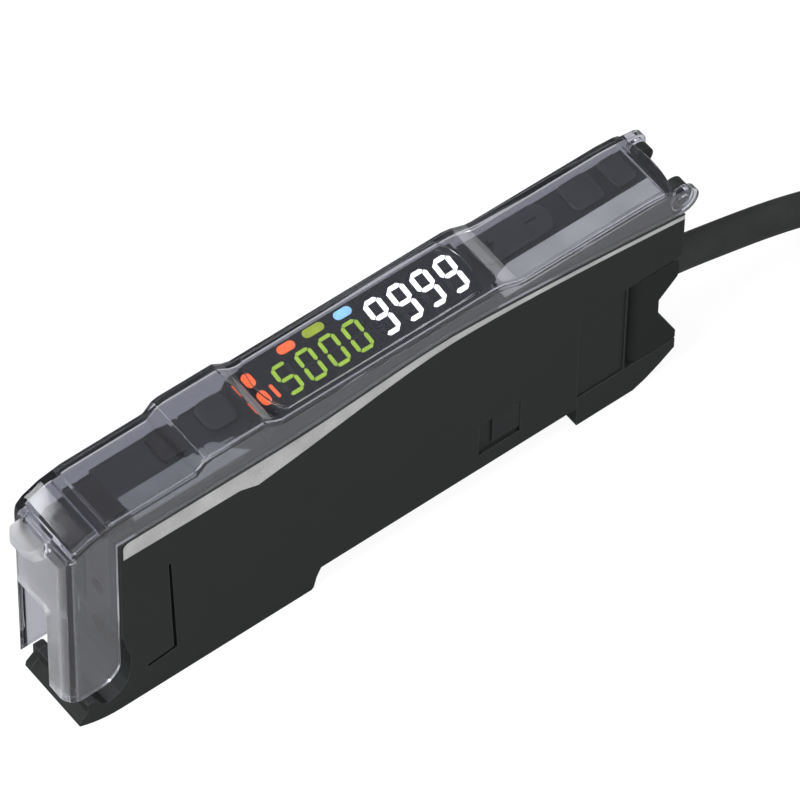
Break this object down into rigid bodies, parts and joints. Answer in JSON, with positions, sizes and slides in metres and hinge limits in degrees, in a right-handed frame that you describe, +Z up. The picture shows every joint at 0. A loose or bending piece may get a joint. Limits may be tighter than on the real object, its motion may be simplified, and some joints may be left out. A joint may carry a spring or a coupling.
{
  "type": "fibre optic sensor amplifier",
  "caption": "Slim rail-mounted fibre sensor amplifier with a smoked swing-up cover, lit digit display, rocker and push keys, fibre ports at the front and a cable tied in a hank at the rear",
  "frame": {"origin": "middle of the amplifier's length and width, at the underside of its foot and rail latch", "axes": "+X along the length towards the cable, +Y across the width towards the side cover, +Z up"},
  "size_m": [0.1951, 0.0422, 0.0361],
  "materials": {
    "case_plastic": "satin dark grey-black moulding",
    "band_silver": "satin silver paint",
    "dark_pane": "polished near-black window",
    "panel_plastic": "satin dark grey moulding",
    "black_plastic": "black moulding",
    "label_grey": "printed grey film",
    "white_plastic": "white moulding",
    "glow_white": "lit white segments",
    "glow_green": "lit green segments",
    "glow_orange": "lit orange lamps",
    "glow_lime": "lit yellow-green lamp",
    "glow_blue": "lit light blue lamp",
    "key_plastic": "satin grey key caps",
    "board_green": "green solder mask",
    "clear_can": "clear resin can",
    "smoked_cover": "smoked clear polycarbonate",
    "cable_jacket": "matt dark grey jacket",
    "core_brown": "brown core insulation",
    "core_blue": "blue core insulation",
    "core_orange": "orange core insulation",
    "core_pink": "pink core insulation"
  },
  "bodies": {
    "amplifier": {"case_body": "case_plastic", "side_cover": "case_plastic", "trim_band_near": "band_silver", "trim_band_far": "band_silver", "port_window_near": "dark_pane", "port_window_far": "dark_pane", "top_panel": "panel_plastic", "front_hood": "black_plastic", "label_strip_front": "label_grey", "label_strip_rear": "label_grey", "display_window": "dark_pane", "display_block": "white_plastic", "big_digits": "glow_white", "small_digits": "glow_green", "output_lamps": "glow_orange", "bar_lamp": "glow_orange", "mode_lamp": "glow_orange", "power_lamp": "glow_lime", "status_lamp": "glow_blue", "key_board": "board_green", "key_switches": "white_plastic", "main_board": "board_green", "board_chips": "black_plastic", "fibre_block": "black_plastic", "light_emitter": "clear_can", "light_receiver": "clear_can", "cable_bush": "case_plastic", "cable": "cable_jacket", "cable_hank": "cable_jacket", "hank_tie": "black_plastic", "core_brown": "core_brown", "core_blue": "core_blue", "core_black": "black_plastic", "core_orange": "core_orange", "core_pink": "core_pink"},
    "cover": {"protective_cover": "smoked_cover"},
    "rocker": {"rocker_key": "key_plastic"},
    "mode_button": {"mode_key": "key_plastic"},
    "contact_button": {"contact_key": "key_plastic"},
    "tune_button": {"tune_key": "key_plastic"},
    "lock": {"fibre_lock": "black_plastic"},
    "latch": {"rail_latch": "case_plastic"}
  },
  "joints": [
    {"name": "cover_hinge", "type": "hinge", "parent": "amplifier", "child": "cover", "pos_m": [0.0417, 0, 0.0298], "axis": [0, 1, 0], "range_deg": [0, 110]},
    {"name": "rocker_tilt", "type": "hinge", "parent": "amplifier", "child": "rocker", "pos_m": [0.0229, 0.0016, 0.0295], "axis": [0, 1, 0], "range_deg": [-2, 2], "stiffness_Nm_per_rad": 0.05},
    {"name": "mode_press", "type": "slide", "parent": "amplifier", "child": "mode_button", "axis": [0, 0, -1], "range_m": [0, 0.00025], "stiffness_N_per_m": 400},
    {"name": "contact_press", "type": "slide", "parent": "amplifier", "child": "contact_button", "axis": [0, 0, -1], "range_m": [0, 0.00025], "stiffness_N_per_m": 400},
    {"name": "tune_press", "type": "slide", "parent": "amplifier", "child": "tune_button", "axis": [0, 0, -1], "range_m": [0, 0.00025], "stiffness_N_per_m": 400},
    {"name": "lock_slide", "type": "slide", "parent": "amplifier", "child": "lock", "axis": [0, 0, 1], "range_m": [0, 0.0012]},
    {"name": "latch_slide", "type": "slide", "parent": "amplifier", "child": "latch", "axis": [1, 0, 0], "range_m": [0, 0.0012], "stiffness_N_per_m": 1500}
  ]
}
